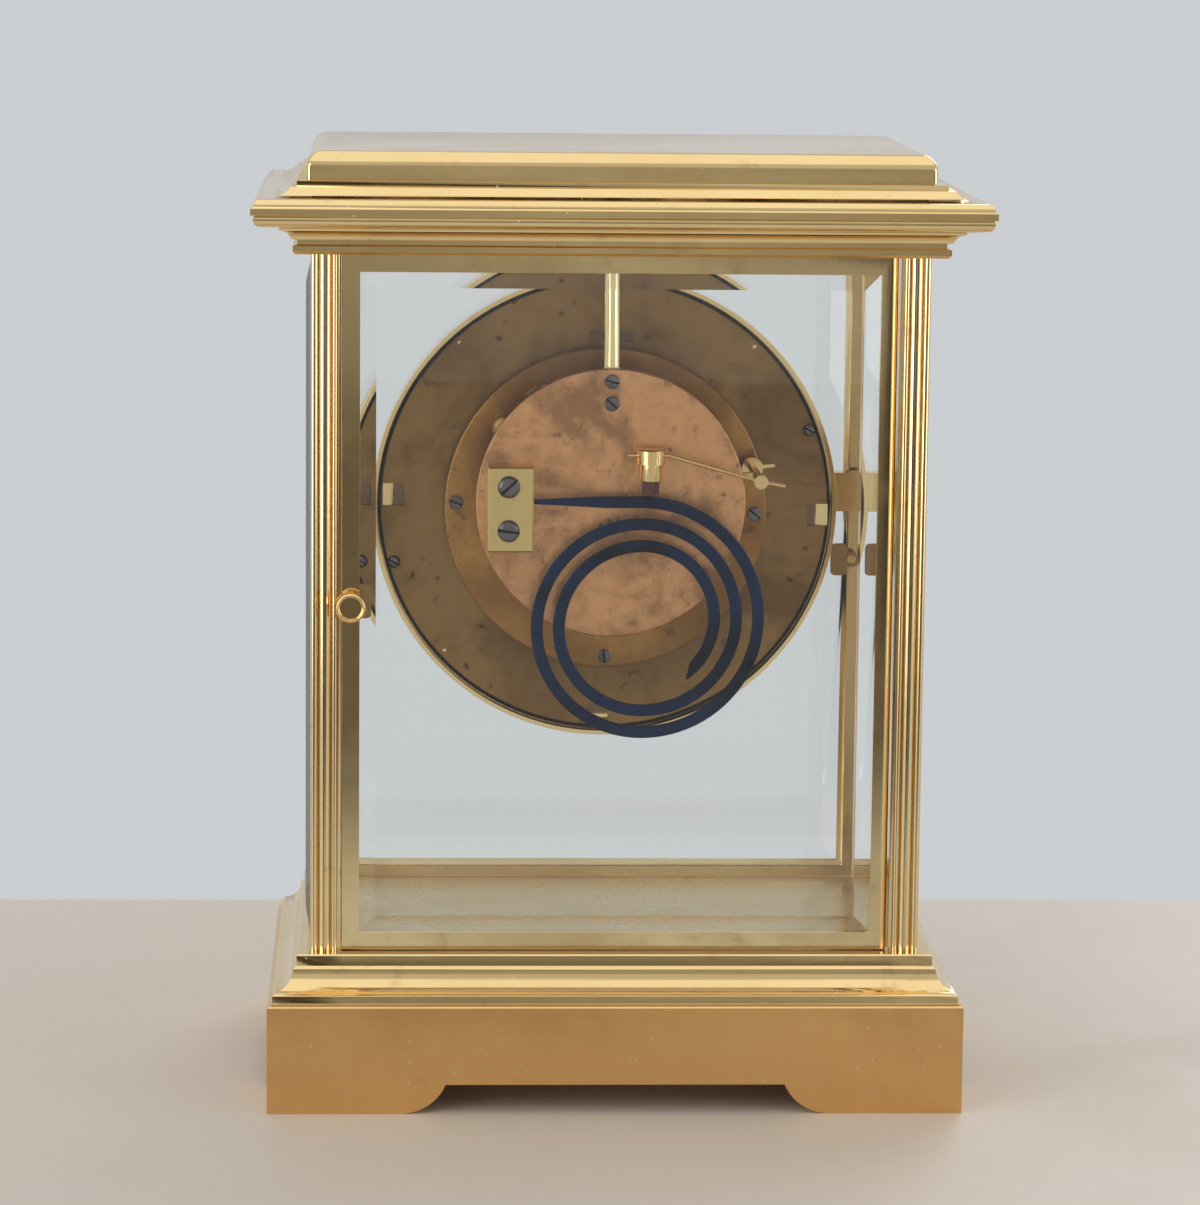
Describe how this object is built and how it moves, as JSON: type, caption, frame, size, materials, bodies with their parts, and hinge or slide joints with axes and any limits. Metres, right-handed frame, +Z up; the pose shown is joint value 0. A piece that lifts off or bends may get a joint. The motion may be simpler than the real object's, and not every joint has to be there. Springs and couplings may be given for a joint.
{
  "type": "mantel clock",
  "caption": "Four-glass mantel clock in a reeded brass case with hinged glass doors, round dial, striking movement and spiral gong.",
  "frame": {"origin": "middle of the underside of the base", "axes": "+Z up, -Y the way the dial faces, +Y the gong side, +X to the right of someone reading the dial"},
  "size_m": [0.2012, 0.138, 0.265],
  "materials": {
    "polished_brass": "polished",
    "train_brass": "polished",
    "aged_brass": "aged satin",
    "plate_brass": "warm satin",
    "copper_toned_brass": "mottled satin",
    "pale_brass": "brushed",
    "clear_glass": "clear polished",
    "white_enamel": "gloss enamel",
    "dark_steel": "polished dark",
    "blued_steel": "heat blued",
    "hammer_leather": "pressed"
  },
  "bodies": {
    "case": {"base_plinth": "polished_brass", "base_moulding": "polished_brass", "cornice": "polished_brass", "top_cap": "polished_brass", "front_left_pillar": "polished_brass", "front_right_pillar": "polished_brass", "rear_left_pillar": "polished_brass", "rear_right_pillar": "polished_brass", "left_side_glass": "clear_glass", "right_side_glass": "clear_glass", "door_pivots": "dark_steel", "bezel": "polished_brass", "bezel_brackets": "polished_brass", "dial_back_plate": "aged_brass", "enamel_dial": "white_enamel", "dial_screws": "dark_steel", "front_plate": "plate_brass", "back_plate": "copper_toned_brass", "movement_posts": "aged_brass", "dial_feet": "aged_brass", "front_plate_screws": "dark_steel", "case_stay": "polished_brass", "back_plate_screws": "dark_steel", "gong_block": "pale_brass", "gong": "blued_steel", "front_plate_studs": "dark_steel"},
    "rear_door": {"rear_door_frame": "polished_brass", "rear_door_glass": "clear_glass"},
    "front_door": {"front_door_frame": "polished_brass", "front_door_glass": "clear_glass"},
    "rear_latch": {"rear_door_knob": "polished_brass", "rear_latch_tongue": "aged_brass"},
    "front_latch": {"front_door_knob": "polished_brass", "front_latch_tongue": "aged_brass"},
    "minute_train": {"centre_arbor": "train_brass", "minute_hand": "blued_steel", "cannon_pinion": "train_brass", "hand_nut": "train_brass"},
    "hour_train": {"hour_hand": "blued_steel", "hour_wheel": "train_brass"},
    "minute_wheel": {"minute_wheel": "train_brass"},
    "going_barrel": {"going_barrel": "train_brass", "going_mainspring": "blued_steel"},
    "third_wheel": {"third_wheel": "train_brass"},
    "escape_wheel": {"escape_wheel": "train_brass"},
    "pallet_lever": {"pallet_lever": "dark_steel"},
    "balance": {"balance_wheel": "train_brass", "hairspring": "blued_steel"},
    "going_winder": {"going_winding_arbor": "dark_steel"},
    "strike_winder": {"strike_winding_arbor": "dark_steel"},
    "going_click": {"going_click": "dark_steel"},
    "strike_click": {"strike_click": "dark_steel"},
    "strike_wheel": {"pin_wheel": "train_brass"},
    "strike_barrel": {"strike_barrel": "train_brass", "strike_mainspring": "blued_steel"},
    "fly": {"fly": "dark_steel"},
    "hammer": {"hammer_head": "train_brass", "hammer_leather": "hammer_leather", "hammer_stem": "train_brass", "hammer_arbor": "train_brass"}
  },
  "joints": [
    {"name": "rear_door_swing", "type": "hinge", "parent": "case", "child": "rear_door", "pos_m": [-0.0738, 0.0491, 0.14], "axis": [0, 0, 1], "range_deg": [0, 90]},
    {"name": "front_door_swing", "type": "hinge", "parent": "case", "child": "front_door", "pos_m": [0.0738, -0.0491, 0.14], "axis": [0, 0, 1], "range_deg": [0, 90]},
    {"name": "rear_latch_turn", "type": "hinge", "parent": "rear_door", "child": "rear_latch", "pos_m": [0.0736, 0.0491, 0.1403], "axis": [0, 1, 0], "range_deg": [0, 180]},
    {"name": "front_latch_turn", "type": "hinge", "parent": "front_door", "child": "front_latch", "pos_m": [-0.0736, -0.0491, 0.1403], "axis": [0, 1, 0], "range_deg": [0, 180]},
    {"name": "minute_hand_turn", "type": "hinge", "parent": "case", "child": "minute_train", "pos_m": [0, -0.02, 0.1568], "axis": [0, 1, 0], "continuous": true},
    {"name": "hour_hand_turn", "type": "hinge", "parent": "case", "child": "hour_train", "pos_m": [0, -0.038, 0.1568], "axis": [0, 1, 0], "continuous": true},
    {"name": "minute_wheel_turn", "type": "hinge", "parent": "case", "child": "minute_wheel", "pos_m": [0.006, -0.035, 0.16719], "axis": [0, 1, 0], "continuous": true},
    {"name": "going_barrel_turn", "type": "hinge", "parent": "case", "child": "going_barrel", "pos_m": [0.01592, -0.02, 0.14921], "axis": [0, 1, 0], "continuous": true},
    {"name": "third_wheel_turn", "type": "hinge", "parent": "case", "child": "third_wheel", "pos_m": [0.01188, -0.02, 0.16868], "axis": [0, 1, 0], "continuous": true},
    {"name": "escape_wheel_turn", "type": "hinge", "parent": "case", "child": "escape_wheel", "pos_m": [0.00047, -0.02, 0.1786], "axis": [0, 1, 0], "continuous": true},
    {"name": "pallet_lever_rock", "type": "hinge", "parent": "case", "child": "pallet_lever", "pos_m": [0.00825, -0.02, 0.18405], "axis": [0, 1, 0], "range_deg": [-4, 4]},
    {"name": "balance_swing", "type": "hinge", "parent": "case", "child": "balance", "pos_m": [0.0181, -0.02, 0.18578], "axis": [0, 1, 0], "range_deg": [-135, 135]},
    {"name": "going_winding_turn", "type": "hinge", "parent": "case", "child": "going_winder", "pos_m": [0.01592, -0.02, 0.14921], "axis": [0, 1, 0], "continuous": true},
    {"name": "strike_winding_turn", "type": "hinge", "parent": "case", "child": "strike_winder", "pos_m": [-0.01592, -0.02, 0.14921], "axis": [0, 1, 0], "continuous": true},
    {"name": "going_click_lift", "type": "hinge", "parent": "case", "child": "going_click", "pos_m": [0.01907, -0.034, 0.14056], "axis": [0, 1, 0], "range_deg": [0, 15]},
    {"name": "strike_click_lift", "type": "hinge", "parent": "case", "child": "strike_click", "pos_m": [-0.01277, -0.034, 0.14056], "axis": [0, 1, 0], "range_deg": [0, 15]},
    {"name": "strike_wheel_turn", "type": "hinge", "parent": "case", "child": "strike_wheel", "pos_m": [-0.01898, -0.02, 0.16658], "axis": [0, 1, 0], "continuous": true},
    {"name": "strike_barrel_turn", "type": "hinge", "parent": "case", "child": "strike_barrel", "pos_m": [-0.01592, -0.02, 0.14921], "axis": [0, 1, 0], "continuous": true},
    {"name": "fly_spin", "type": "hinge", "parent": "case", "child": "fly", "pos_m": [-0.02161, -0.02, 0.18147], "axis": [0, 1, 0], "continuous": true},
    {"name": "hammer_lift", "type": "hinge", "parent": "case", "child": "hammer", "pos_m": [-0.0424, -0.02, 0.1696], "axis": [0, 1, 0], "range_deg": [-18, 0]}
  ],
  "couplings": [
    {"joint": "hour_hand_turn", "follows": "minute_hand_turn", "ratio": 0.083333},
    {"joint": "minute_wheel_turn", "follows": "minute_hand_turn", "ratio": -0.33333},
    {"joint": "going_barrel_turn", "follows": "minute_hand_turn", "ratio": -0.16667},
    {"joint": "third_wheel_turn", "follows": "minute_hand_turn", "ratio": -6},
    {"joint": "escape_wheel_turn", "follows": "minute_hand_turn", "ratio": 36},
    {"joint": "strike_barrel_turn", "follows": "strike_wheel_turn", "ratio": -0.16667},
    {"joint": "fly_spin", "follows": "strike_wheel_turn", "ratio": -6}
  ]
}
